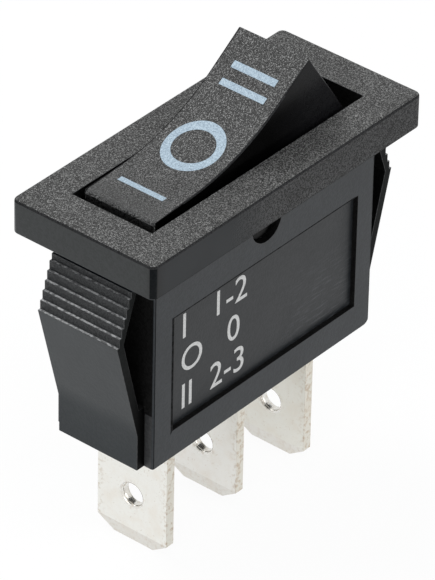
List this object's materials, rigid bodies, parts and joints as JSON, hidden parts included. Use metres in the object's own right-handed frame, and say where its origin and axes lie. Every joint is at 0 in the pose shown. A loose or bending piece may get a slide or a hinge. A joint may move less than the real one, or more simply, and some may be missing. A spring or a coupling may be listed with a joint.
{
  "type": "rocker switch",
  "caption": "Narrow panel-mounting rocker switch with I, O and II positions, a dished rocker, ribbed snap arms on both ends and flat blade terminals.",
  "frame": {"origin": "centre of the panel seat, the flat underside of the bezel", "axes": "+X along the bezel to the end marked II, +Z out of the panel, so -Y is the side with the recessed panel"},
  "size_m": [0.0298, 0.0128, 0.0348],
  "materials": {
    "housing_plastic": "black moulded nylon, spark-eroded grain on the bezel face, smooth on the body",
    "rocker_plastic": "black moulded nylon, spark-eroded grain on top, polished side faces",
    "plunger_plastic": "natural acetal",
    "spring_steel": "drawn spring wire",
    "bridge_brass": "rolled strip",
    "contact_silver": "silver contact rivet",
    "terminal_tin": "matt tin over brass, brownish spots near the sheared edges"
  },
  "bodies": {
    "housing": {"housing": "housing_plastic", "terminal_1": "terminal_tin", "terminal_common": "terminal_tin", "terminal_2": "terminal_tin", "fixed_contact_1": "contact_silver", "fixed_contact_2": "contact_silver"},
    "rocker": {"rocker": "rocker_plastic", "plunger_spring": "spring_steel"},
    "plunger": {"plunger": "plunger_plastic"},
    "contact_bridge": {"contact_bridge": "bridge_brass", "moving_contact_1": "contact_silver", "moving_contact_2": "contact_silver"}
  },
  "joints": [
    {"name": "rocker_tilt", "type": "hinge", "parent": "housing", "child": "rocker", "pos_m": [0, 0, -0.00175], "axis": [0, 1, 0], "range_deg": [0, 36.6]},
    {"name": "plunger_slide", "type": "slide", "parent": "rocker", "child": "plunger", "axis": [-0.314, 0, 0.9494], "range_m": [0, 0.0012], "stiffness_N_per_m": 200, "springref_m": -0.004, "deforming": ["plunger_spring"]},
    {"name": "bridge_tilt", "type": "hinge", "parent": "housing", "child": "contact_bridge", "pos_m": [0, 0, -0.01076], "axis": [0, 1, 0], "range_deg": [-16.01, 0]}
  ],
  "couplings": [
    {"joint": "bridge_tilt", "follows": "rocker_tilt", "ratio": -0.43716}
  ]
}
